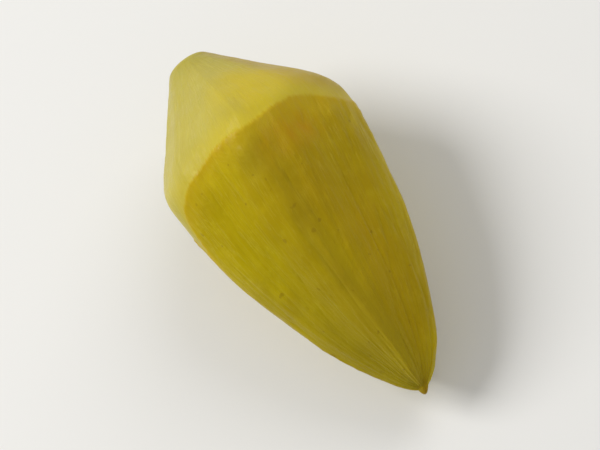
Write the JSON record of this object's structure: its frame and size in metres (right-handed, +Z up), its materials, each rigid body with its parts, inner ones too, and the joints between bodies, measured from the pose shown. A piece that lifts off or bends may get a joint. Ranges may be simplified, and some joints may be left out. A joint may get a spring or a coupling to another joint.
{
  "type": "okra pod",
  "caption": "Small pickled okra pod lying on one face: a ridged body tapering to a blunt beaked tip, and a cap pared to a cone down to the cut stem.",
  "frame": {"origin": "centre of the bounding box at the surface that the pod lies on", "axes": "+Z up from that surface, +X along the pod from the cut stem to the tip, +Y to the side that the pod leans towards"},
  "size_m": [0.0288, 0.0146, 0.0142],
  "materials": {
    "pod_skin": "satin"
  },
  "bodies": {
    "root": {"okra_pod": "pod_skin"}
  },
  "joints": []
}
